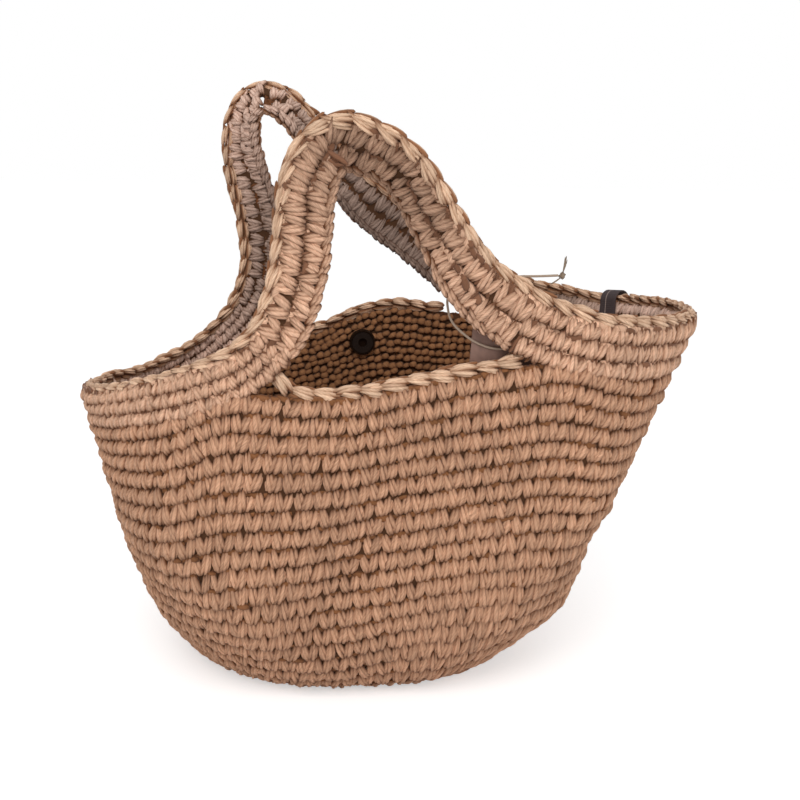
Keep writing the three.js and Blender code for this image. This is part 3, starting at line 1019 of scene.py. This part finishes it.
@dataclass
class Band:
    """The band of rounds that runs round an end, up a foot, over the handle and down again."""

    form: BagForm
    wall: Wall
    rim_rows: int = 3
    handle_rows: int = 2
    foot_height: float = 222.0 * MM
    stitch_pitch: float = 9.4 * MM
    thickness: float = 7.4 * MM
    core_inset: float = 6.0 * MM
    core_slim: float = 0.45
    raise_share: float = 0.8

    def __post_init__(self) -> None:
        """Trace the chain's path smoothly in wall coordinates."""
        given = np.array(EDGES[self.wall].chain) * MM
        steps = np.linalg.norm(np.diff(given, axis=0), axis=1)
        reach = np.concatenate([[0.0], np.cumsum(steps)])
        even = np.linspace(0.0, reach[-1], 900)
        line = np.stack([np.interp(even, reach, given[:, k]) for k in (0, 1)], axis=1)
        kernel = np.hanning(23)
        kernel /= kernel.sum()
        padded = np.concatenate([np.repeat(line[:1], 11, 0), line, np.repeat(line[-1:], 11, 0)])
        smooth = np.stack([np.convolve(padded[:, k], kernel, mode="valid") for k in (0, 1)], axis=1)
        smooth[:12], smooth[-12:] = line[:12], line[-12:]
        self.line = smooth
        steps = np.linalg.norm(np.diff(smooth, axis=0), axis=1)
        length = np.concatenate([[0.0], np.cumsum(steps)])
        self.share = length / length[-1]
        self.apex = float(self.share[int(np.argmax(smooth[:, 1]))])
        self.hinge_left, self.hinge_right = self._ends_above(self.form.hinge_height)
        self.foot_left, self.foot_right = self._ends_above(self.foot_height)
        tangent = unit(np.gradient(smooth, axis=0))
        self.normal = np.stack([-tangent[:, 1], tangent[:, 0]], axis=1)
        turn = np.array(EDGES[self.wall].turn)
        self.turned = np.radians(np.interp(self.share, turn[:, 0], turn[:, 1]))

    def _ends_above(self, height: float) -> tuple[float, float]:
        """Shares of the chain's length between which it is above a height.

        Args:
            height: the height.

        Returns:
            The first and the last share.
        """
        high = np.flatnonzero(self.line[:, 1] > height)
        return float(self.share[high[0]]), float(self.share[high[-1]])

    def point(self, t: np.ndarray, inward: float) -> np.ndarray:
        """Point of the band's outer face.

        Args:
            t: share of the band's length.
            inward: distance from the chain's middle towards the slit.

        Returns:
            Points, one a row.
        """
        row = self._offset(inward)
        s = np.interp(t, self.share, row[:, 0])
        z = np.interp(t, self.share, row[:, 1])
        turn = np.interp(t, self.share, self.turned)
        points = self.form.wall_point(self.wall, s, z)
        fade = 1.0 - smoothstep(t, 0.60, 0.655)
        points[:, 1] -= self.wall.value * inward * np.sin(turn) * self.raise_share * fade
        return points

    def _offset(self, inward: float) -> np.ndarray:
        """Line beside the chain's path, eased where the bend is tighter than the distance.

        Args:
            inward: distance from the chain's middle towards the slit.

        Returns:
            The line's points in wall coordinates.
        """
        line = self.line - self.normal * (inward * np.cos(self.turned))[:, None]
        half = max(1, round(abs(inward) / MM * 1.1))
        kernel = np.hanning(2 * half + 3)[1:-1]
        kernel /= kernel.sum()
        ahead = 2 * line[:1] - line[half:0:-1]
        behind = 2 * line[-1:] - line[-2 : -half - 2 : -1]
        padded = np.concatenate([ahead, line, behind])
        return np.stack([np.convolve(padded[:, k], kernel, mode="valid") for k in (0, 1)], axis=1)

    def row_inward(self, row: int, rows: int) -> float:
        """Distance of a row's middle from the chain's middle.

        Args:
            row: 0 is the row next to the chain.
            rows: how many rows the band has there.

        Returns:
            The distance.
        """
        return self.form.chain_width / 2 + (row + 0.5) * self.form.band_width / rows


class Tote:
    """The crocheted bag: base, walls, handles and chains."""

    def __init__(self, form: BagForm, finishes: Finishes, rng: np.random.Generator) -> None:
        """Keep what the pieces share.

        Args:
            form: the bag's form.
            finishes: its materials.
            rng: the scene's random numbers.
        """
        self.form = form
        self.finishes = finishes
        self.yarn = Yarn(rng)
        self.stitch = StitchShape()
        self.chain = ChainShape()
        self.blends = Blends(form)
        self.bands = {wall: Band(form, wall) for wall in Wall}

    def build(self) -> None:
        """Build every crocheted piece."""
        self.build_base()
        for wall in Wall:
            self.build_wall(wall)
            self.build_band(wall)
            self.build_slit_chain(wall)

    def row_line(self, wall: Wall, up: float) -> Line:
        """Give the line of one round of the body.

        Args:
            wall: front or back.
            up: length up the front wall.

        Returns:
            A function from 0 to 1 that gives the round's points.
        """
        span = self.form.half_span

        def line(t: np.ndarray) -> np.ndarray:
            s = (2.0 * t - 1.0) * span
            return self.form.wall_point(wall, s, self.form.round_height(wall, np.full_like(s, up), s))

        return line

    def build_wall(self, wall: Wall) -> None:
        """Build the rounds of one half of the body, from end to end.

        Args:
            wall: front or back.
        """
        name = wall.name.lower()
        rows = self.form.rows
        groups = {part: Arms() for part in ("lower", "middle", "upper")}
        inside = {part: Arms() for part in groups}
        loops = Arms()
        outward = -float(wall.value)
        for row in range(rows):
            low, up, high = (self.form.row_edge(row + share) for share in (0.0, 0.5, 1.0))
            course = Course.lay(
                self.row_line(wall, up),
                self.row_line(wall, up + 1.0 * MM),
                outward,
                self.form.stitch_pitch,
                0.35 * math.sin(2.3 * row) * wall.value,
            )
            part = list(groups)[min(2, 3 * row // rows)]
            rise = self.row_line(wall, high)(course.at) - self.row_line(wall, low)(course.at)
            pitch = np.linalg.norm(rise, axis=1)
            self.stitch.outside(groups[part], course, pitch)
            self.stitch.under(loops, course, pitch)
            if row > 0:
                self.stitch.inside(inside[part], course, pitch, self.form.inner_depth)
        for half, side in (("left", -1), ("right", 1)):
            pieces = []
            for part, arms in groups.items():
                piece = self.yarn.spin(f"{name}_{part}_rounds_{half}", arms.half(side), self.finishes.jute)
                pieces.append(piece)
                if part == "upper" and side < 0:
                    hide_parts(f"{name}_panel")
                if part == "upper" and wall is Wall.FRONT:
                    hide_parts(f"{half}_side")
                if part == "lower" and wall is Wall.FRONT and side < 0:
                    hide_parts("lower_wall")
            # The loops take the darker deep finish: painted shade between the Vs.
            deep = self.yarn.spin(f"{name}_loops_{half}", loops.half(side), self.finishes.deep, strands=1)
            pieces.append(deep)
            # The inner faces take the darker inside finish: painted shade.
            for part, arms in inside.items():
                label = f"{name}_{part}_inner_face_{half}"
                pieces.append(self.yarn.spin(label, arms.half(side), self.finishes.painted_inside, strands=1))
            shift = 0.25 + 0.25 * side
            core = self.core_sheet(
                f"{name}_core_{half}",
                lambda t, v, a=shift: self._core_point(wall, a + 0.5 * t, v),
                (48, 36),
            )
            for obj in (*pieces, core):
                self.blends.mouth(obj, wall, side)

    def _core_point(self, wall: Wall, t: np.ndarray, v: np.ndarray) -> np.ndarray:
        """Point of the body's outer face over the whole half.

        Args:
            wall: front or back.
            t: 0 to 1 along the wall.
            v: 0 to 1 up the wall.

        Returns:
            Points.
        """
        s = (2.0 * t - 1.0) * self.form.half_span
        up = v * self.form.rise_length[-1]
        return self.form.wall_point(wall, s, self.form.round_height(wall, up, s))

    def core_sheet(
        self,
        name: str,
        surface: Callable[[np.ndarray, np.ndarray], np.ndarray],
        cells: tuple[int, int],
    ) -> bpy.types.Object:
        """Build a dark sheet in the middle of the fabric, painted shade which closes the gaps between
        stitches.

        Args:
            name: the object's name.
            surface: the fabric's outer face over two numbers from 0 to 1.
            cells: faces along and up.

        Returns:
            The new object.
        """
        across, rise = cells
        t, v = np.meshgrid(np.linspace(0, 1, across + 1), np.linspace(0, 1, rise + 1))
        points = surface(t.ravel(), v.ravel()).reshape(rise + 1, across + 1, 3)
        along = np.gradient(points, axis=1)
        up = np.gradient(points, axis=0)
        normal = unit(np.cross(along, up))
        centre = points.reshape(-1, 3).mean(axis=0)
        centre[1] = 0.0
        facing = np.sum(normal * (points - centre), axis=-1).mean()
        normal = normal * (1.0 if facing > 0 else -1.0)
        near, far = self.form.core_depths
        outer, inner = points - normal * near, points - normal * far
        if facing < 0:
            outer, inner = inner, outer
        grid = np.stack([outer, inner]).reshape(-1, 3)
        ids = np.arange(len(grid)).reshape(2, rise + 1, across + 1)
        rims = (ids[:, 0, ::-1], ids[:, -1], ids[:, :, 0], ids[:, ::-1, -1])
        faces = []
        for sheet in (ids[0], ids[1, :, ::-1], *rims):
            corners = (sheet[:-1, :-1], sheet[:-1, 1:], sheet[1:, 1:], sheet[1:, :-1])
            faces += np.stack(corners, axis=-1).reshape(-1, 4).tolist()
        mesh = bpy.data.meshes.new(name)
        mesh.from_pydata(grid.tolist(), [], faces)
        mesh.shade_smooth()
        mesh.materials.append(self.finishes.core)
        obj = bpy.data.objects.new(name, mesh)
        bpy.context.collection.objects.link(obj)
        return obj

    def build_base(self) -> None:
        """Build the base's rounds, seen from under the bag and from inside it."""
        form = self.form
        rounds = max(4, round(form.base_depth / form.row_pitch))
        pitch = form.base_depth / rounds
        outer, inner = Arms(), Arms()

        def line_at(share: float) -> Line:
            def line(t: np.ndarray) -> np.ndarray:
                angle = t * 2.0 * math.pi
                spine = form.base_length - form.base_depth
                size = form.base_depth * share
                x = (spine + size) * np.cos(angle)
                y = size * np.sin(angle)
                return form.relax(np.stack([x, y, np.full_like(x, 0.2 * MM)], axis=-1))

            return line

        for ring in range(rounds):
            share = (ring + 0.5) / rounds
            course = Course.lay(
                line_at(share),
                line_at(share + 0.01),
                -1.0,
                form.stitch_pitch,
                0.3 * math.sin(3.1 * ring),
            )
            if course.out[0][2] > 0:
                course.out = -course.out
            self.stitch.outside(outer, course, pitch)
            self.stitch.inside(inner, course, pitch, form.inner_depth)
        under = self.yarn.spin("base_rounds", outer, self.finishes.jute)
        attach(under, "bag")
        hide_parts("base_disc")
        # The base's inner face takes the darker inside finish: painted shade.
        floor = self.yarn.spin("base_inner_face", inner, self.finishes.painted_inside, strands=1)
        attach(floor, "bag")

        def surface(t: np.ndarray, v: np.ndarray) -> np.ndarray:
            points = line_at(1.0)(t)
            points[:, :2] *= (0.02 + 0.98 * (1.0 - v))[:, None]
            return points

        core = self.core_sheet("base_core", surface, (64, 12))
        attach(core, "bag")

    def build_band(self, wall: Wall) -> None:
        """Build the band along the side rims and over the handle, with its chain.

        Args:
            wall: front or back.
        """
        form, band = self.form, self.bands[wall]
        name = wall.name.lower()
        outward = -float(wall.value)
        rim, over = band.rim_rows, band.handle_rows
        spans = {
            "left": ((0.0, band.foot_left, rim), (band.foot_left, band.hinge_left, over)),
            "handle": ((band.hinge_left, band.hinge_right, over),),
            "right": ((band.hinge_right, band.foot_right, over), (band.foot_right, 1.0, rim)),
        }
        for part, stretches in spans.items():
            rounds, painted_inside, fill, loops, links = Arms(), Arms(), Arms(), Arms(), Arms()
            start, stop = stretches[0][0], stretches[-1][1]
            for begin, finish, rows in stretches:
                pitch = form.band_width / rows
                for row in range(rows):
                    inward = band.row_inward(row, rows)
                    course = Course.lay(
                        lambda t, a=inward: band.point(t, a),
                        lambda t, a=inward: band.point(t, a - 1.0 * MM),
                        outward,
                        band.stitch_pitch,
                        0.3 * math.sin(1.7 * row + 0.4) * wall.value,
                        begin,
                        finish,
                    )
                    ahead = unit(band.point(course.at + 2e-4, 0.0) - band.point(course.at - 2e-4, 0.0))
                    course = course.kept(np.sum(ahead * course.along, axis=1) > 0.05)
                    over_edge, under_edge = (band.point(course.at, inward + k * pitch / 2) for k in (-1, 1))
                    wide = np.linalg.norm(over_edge - under_edge, axis=1)
                    height = np.clip(wide, 0.85 * pitch, 1.3 * pitch)
                    self.stitch.outside(rounds, course, height)
                    self.stitch.under(fill, course, height)
                    back = course.place - course.out * band.thickness
                    back = back + course.along * (0.5 * course.pitch)
                    turned = replace(course, place=back, out=-course.out)
                    self.stitch.outside(painted_inside, turned, height)
                    self.stitch.under(loops, turned, height)
                    if row == rows - 1 and rows == over:
                        self.stitch.hem(rounds, painted_inside, course, pitch, form.fabric)
            course = Course.lay(
                lambda t: band.point(t, 0.0),
                lambda t: band.point(t, -1.0 * MM),
                outward,
                self.chain.link,
                0.0,
                start,
                stop,
            )
            course.place = course.place - course.out * (form.fabric / 2)
            self.chain.links(links, course)
            piece = self.yarn.spin(f"{name}_{part}_band", rounds, self.finishes.band)
            # The band's inner face and loops take the lighter finish: painted light, with a spot of painted
            # shade.
            inner = self.yarn.spin(f"{name}_{part}_band_inside", painted_inside, self.finishes.underside_painted_light)
            deep = self.yarn.spin(f"{name}_{part}_band_loops", loops, self.finishes.underside_painted_light, strands=1)
            between = self.yarn.spin(f"{name}_{part}_band_fill", fill, self.finishes.band, strands=1)
            edge = self.yarn.spin(f"{name}_{part}_edge_chain", links, self.finishes.chain, twist=0.3)
            core = self.core_sheet(
                f"{name}_{part}_band_core",
                lambda t, v, a=start, b=stop: self._band_point(band, a + t * (b - a), v),
                (60, 4),
            )
            for obj in (piece, inner, deep, between, edge, core):
                if part == "handle":
                    self.blends.fold(obj, wall)
                else:
                    self.blends.mouth(obj, wall, -1 if part == "left" else 1)
            if part == "handle":
                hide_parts(f"{name}_handle")
                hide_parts(f"{name}_handle_chain")
            else:
                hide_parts(f"{name}_foot_chain_{part}")
                if wall is Wall.FRONT:
                    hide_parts(f"{part}_rim_chain")

    def _band_point(self, band: Band, t: np.ndarray, v: np.ndarray) -> np.ndarray:
        """Point of a band's outer face.

        Args:
            band: the band.
            t: share of its length.
            v: 0 to 1 across it, from the slit side to the chain.

        Returns:
            Points.
        """
        points = np.zeros((len(t), 3))
        for value in np.unique(v):
            chosen = v == value
            reach = (1.0 - value) * (self.form.band_width - band.core_inset)
            at = t[chosen]
            wide = band.point(at, self.form.chain_width / 2 + reach)
            slim = band.point(at, self.form.chain_width / 2 + reach * band.core_slim)
            tight = np.exp(-(((at - band.apex) / 0.035) ** 2))[:, None]
            points[chosen] = wide * (1.0 - tight) + slim * tight
        return points

    def build_slit_chain(self, wall: Wall) -> None:
        """Build the chain along the slit between the handle's feet.

        Args:
            wall: front or back.
        """
        form = self.form
        left, right, climb = (size * MM for size in EDGES[wall].slit)

        def line_at(lift: float) -> Line:
            def line(t: np.ndarray) -> np.ndarray:
                s = left + t * (right - left)
                rise = climb * (smoothstep(t, 0.93, 1.02) + smoothstep(1 - t, 0.93, 1.02))
                level = EDGES[wall].top(s) + form.chain_width / 2 + 0.5 * MM
                return form.wall_point(wall, s, level + rise + lift)

            return line

        course = Course.lay(
            line_at(0.0), line_at(1.0 * MM), -float(wall.value), self.chain.link, 0.0
        )
        course.place = course.place - course.out * (form.fabric / 2)
        links = Arms()
        self.chain.links(links, course)
        name = wall.name.lower()
        piece = self.yarn.spin(f"{name}_slit_edge_chain", links, self.finishes.chain, twist=0.3)
        self.blends.mouth(piece, wall, 1)
        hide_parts(f"{name}_slit_chain")


@dataclass
class HangTag:
    """The blank card on its string, with the string's tie and knot at the handle's foot."""

    finishes: Finishes
    yarn: Yarn
    thickness: float = 1.2 * MM
    loop: tuple[Triple, ...] = (
        (54, -96.1, 238), (47, -96.1, 238.5), (41, -95.3, 238), (36.5, -93.5, 234),
        (34.7, -92.5, 229), (35, -92.2, 223), (37, -93, 217), (42, -95, 211.6),
        (51, -96.1, 206), (60, -96.3, 203.7), (67, -95.9, 204),
    )
    tie: tuple[Triple, ...] = (
        (54.4, -96.1, 238), (61, -96.1, 238.7), (70, -96.1, 239.4), (79.5, -96.1, 239.6),
        (88.5, -96.1, 240),
    )
    knot: Triple = (90.5, -96.1, 240)
    turns: Table = (
        (-1.7, 0, -0.9, 1.5, 0, 1.0, 0.95), (-0.9, -0.6, 1.5, 0.9, -0.6, -1.5, 0.95),
        (0.3, 0.4, -1.5, -0.2, 0.4, 1.6, 0.9), (0.3, 0, 0.6, 1.9, 0.2, 7.6, 0.55),
        (0.6, 0, 0.8, 1.1, -0.3, 9.4, 0.5), (-0.4, 0, -0.7, -5.2, 0.2, -4.4, 0.5),
    )

    def build_cords(self) -> None:
        """Lay the string and the tie along the routes that their solids have."""
        string = self._cord("hang_string", self.loop)
        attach(string, "tag")
        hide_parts("tag_string")
        tie = self._cord("hang_tie", self.tie)
        knot = self._knot()
        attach(tie, "front_wall")
        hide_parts("tag_tie")
        LOG.info("string, tie and knot: 3 pieces")

    def _cord(self, name: str, points: tuple[Triple, ...]) -> bpy.types.Object:
        """Make a round cord on one smooth open curve.

        Args:
            name: the object's name.
            points: the points it runs through, in millimetres.

        Returns:
            The curve object.
        """
        data = bpy.data.curves.new(name, "CURVE")
        data.dimensions = "3D"
        data.bevel_depth = self.thickness / 2
        data.bevel_resolution = 3
        data.resolution_u = 8
        data.use_fill_caps = True
        spline = data.splines.new("BEZIER")
        spline.bezier_points.add(len(points) - 1)
        for at, place in zip(spline.bezier_points, points):
            at.co = [c * MM for c in place]
            at.handle_left_type = at.handle_right_type = "AUTO"
        data.materials.append(self.finishes.string)
        cord = bpy.data.objects.new(name, data)
        bpy.context.collection.objects.link(cord)
        return cord

    def _knot(self) -> bpy.types.Object:
        """Tie the knot, with its two frayed tails.

        Returns:
            The knot.
        """
        arms = Arms()
        centre = np.array(self.knot)
        for turn in self.turns:
            start = (centre + turn[0:3])[None, :] * MM
            end = (centre + turn[3:6])[None, :] * MM
            width = turn[6] * MM
            arms.add(start, end, np.array([[0.0, -1.0, 0.05]]), width, width, 0.5 * MM)
        slack, self.yarn.slack = self.yarn.slack, 0.08 * MM
        knot = self.yarn.spin("hang_knot", arms, self.finishes.twine)
        self.yarn.slack = slack
        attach(knot, "front_wall")
        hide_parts("tag_knot")
        return knot


@dataclass
class RimLabel:
    """The folded tape over the rim at the right end."""

    form: BagForm
    finishes: Finishes
    band: Band
    blends: Blends
    width: float = 12.5 * MM
    drop: float = 11.0 * MM
    sheet: float = 0.8 * MM
    sink: float = 1.3 * MM
    bend: float = 6.3 * MM

    def build(self) -> None:
        """Fold a strip over the rim's chain."""
        low, high = (np.array(c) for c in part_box("label_tab"))
        t = np.linspace(self.band.hinge_right, 1.0, 3000)
        rim = self.band.point(t, 0.0)
        near = int(np.argmin(np.linalg.norm(rim[:, :2] - ((low + high) / 2)[:2], axis=1)))
        at = t[near : near + 1]
        place = self.band.point(at, 0.0)[0]
        along = unit(self.band.point(at + 1e-3, 0.0)[0] - self.band.point(at - 1e-3, 0.0)[0])
        up = self.band.point(at, -1.0 * MM)[0] - place
        up = unit(up - along * (up @ along))
        out = np.cross(along, up) * -1.0
        place = place - out * self.form.fabric / 2 - up * self.sink
        bpy.ops.mesh.primitive_grid_add(x_subdivisions=6, y_subdivisions=36, size=1.0)
        strip = bpy.context.object
        strip.name = "rim_label"
        arc = math.pi * self.bend
        total = 2 * self.drop + arc
        for vertex in strip.data.vertices:
            u, v = vertex.co.x, vertex.co.y
            run = (v + 0.5) * total - self.drop
            if run < 0:
                side, rise = -self.bend, run
            elif run > arc:
                side, rise = self.bend, arc - run
            else:
                side, rise = -self.bend * math.cos(run / self.bend), self.bend * math.sin(run / self.bend)
            sag = 0.5 * MM * math.sin(3.0 * u + 1.0) * min(1.0, abs(v) * 2)
            vertex.co = Vector(place + along * (u * self.width) + out * (side + sag) + up * rise)
        strip.data.uv_layers[0].name = "tape"
        thick = strip.modifiers.new("thick", "SOLIDIFY")
        thick.thickness = self.sheet
        thick.offset = 0.0
        soft = strip.modifiers.new("soft", "BEVEL")
        soft.width = 0.25 * MM
        soft.segments = 2
        bpy.ops.object.modifier_apply(modifier="thick")
        bpy.ops.object.modifier_apply(modifier="soft")
        bpy.ops.object.shade_smooth_by_angle(angle=math.radians(50))
        strip.data.materials.append(self.finishes.tape)
        self.blends.mouth(strip, Wall.BACK, 1)
        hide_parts("label_tab")
        LOG.info("%s: %d faces", strip.name, len(strip.data.polygons))


@dataclass
class Hardware:
    """The snap's metal halves and the card, which keep their solids and get their finishes."""

    finishes: Finishes
    nodes: dict[str, bpy.types.Object]

    def dress(self) -> None:
        """Give each solid its finish."""
        given = {
            "snap_socket_case": self.finishes.snap,
            "snap_socket_magnet": self.finishes.magnet,
            "snap_stud_disc": self.finishes.snap,
            "snap_stud_post": self.finishes.snap,
            "tag_card": self.finishes.card,
        }
        for name, finish in given.items():
            node = self.nodes[name]
            for slot in node.material_slots:
                slot.material = finish
            LOG.info("%s: dressed", name)


@dataclass
class Studio:
    """Floor, lights and camera."""

    azimuth: float = -6.0
    elevation: float = 16.0
    distance: float = 0.6094
    roll: float = 0.98
    lens: float = 45.18
    shift: tuple[float, float] = (0.0557, 0.0729)
    target: Triple = (0.0, 0.0, 0.12)
    floor_glow: float = 0.5

    def build(self) -> None:
        """Build the studio."""
        self.build_floor()
        self.build_lights()
        self.build_camera()

    def build_floor(self) -> None:
        """Add a pale floor that keeps the bag's shadow."""
        bpy.ops.object.select_all(action="DESELECT")
        bpy.ops.mesh.primitive_plane_add(size=40.0, location=(0.0, 0.0, 0.0))
        floor = bpy.context.object
        floor.name = "studio_floor"
        material = bpy.data.materials.new("studio_white")
        material.use_nodes = True
        graph, nodes = Graph(material.node_tree), material.node_tree.nodes
        pale = {"Base Color": (0.93, 0.93, 0.93, 1.0), "Roughness": 0.95}
        graph.feed(nodes["Principled BSDF"], pale)
        seen = graph.math("MULTIPLY", graph.add("LightPath").outputs["Is Camera Ray"], self.floor_glow)
        glow = graph.add("Emission", {"Strength": seen}).outputs[0]
        both = graph.add("AddShader", {0: nodes["Principled BSDF"].outputs[0], 1: glow})
        graph.feed(nodes["Material Output"], {"Surface": both.outputs[0]})
        floor.data.materials.append(material)

    def build_lights(self) -> None:
        """Add the soft key and fill and an even white world."""
        world = bpy.data.worlds.new("studio_world")
        bpy.context.scene.world = world
        world.use_nodes = True
        graph, nodes = Graph(world.node_tree), world.node_tree.nodes
        white = (1.0, 1.0, 1.0, 1.0)
        graph.feed(nodes["Background"], {"Color": white, "Strength": 0.55})
        seen = graph.add("Background", {"Color": white}).outputs[0]
        share = graph.add("LightPath").outputs["Is Camera Ray"]
        mix = graph.add("MixShader", {"Fac": share, 1: nodes["Background"].outputs[0], 2: seen})
        graph.feed(nodes["World Output"], {"Surface": mix.outputs[0]})
        self._lamp("key", (-0.22, -0.9, 1.05), 0.6, 6.3)
        self._lamp("fill", (1.2, -1.0, 0.8), 1.2, 1.8)

    def _lamp(self, name: str, place: Triple, size: float, power: float) -> None:
        """Add a square lamp that faces the bag.

        Args:
            name: the lamp's name.
            place: where it stands.
            size: its side.
            power: its power in watts.
        """
        data = bpy.data.lights.new(name, "AREA")
        data.size = size
        data.energy = power
        lamp = bpy.data.objects.new(name, data)
        lamp.location = place
        lamp.rotation_euler = (Vector(self.target) - Vector(place)).to_track_quat("-Z", "Y").to_euler()
        bpy.context.collection.objects.link(lamp)

    def build_camera(self) -> None:
        """Add the camera at the photograph's viewing angle."""
        a, e = math.radians(self.azimuth), math.radians(self.elevation)
        way = Vector((math.sin(a) * math.cos(e), -math.cos(a) * math.cos(e), math.sin(e)))
        data = bpy.data.cameras.new("camera")
        data.lens = self.lens
        data.sensor_width = 36.0
        data.shift_x, data.shift_y = self.shift
        camera = bpy.data.objects.new("camera", data)
        camera.location = Vector(self.target) + way * self.distance
        turn = (-way).to_track_quat("-Z", "Y").to_matrix()
        camera.rotation_euler = turn.to_euler()
        camera.rotation_euler.rotate_axis("Z", math.radians(self.roll))
        bpy.context.collection.objects.link(camera)
        bpy.context.scene.camera = camera


def main() -> None:
    """Build the bag around its frame."""
    logging.basicConfig(level=logging.INFO)
    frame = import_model()
    bpy.context.scene.view_settings.view_transform = "Standard"
    rng = np.random.default_rng(SEED)
    Studio().build()
    bpy.ops.object.select_all(action="DESELECT")
    finishes = Finishes()
    tote = Tote(BagForm(), finishes, rng)
    HangTag(finishes, tote.yarn).build_cords()
    tote.build()
    bpy.ops.object.select_all(action="DESELECT")
    RimLabel(tote.form, finishes, tote.bands[Wall.BACK], tote.blends).build()
    Hardware(finishes, frame["nodes"]).dress()


if __name__ == "__main__":
    main()
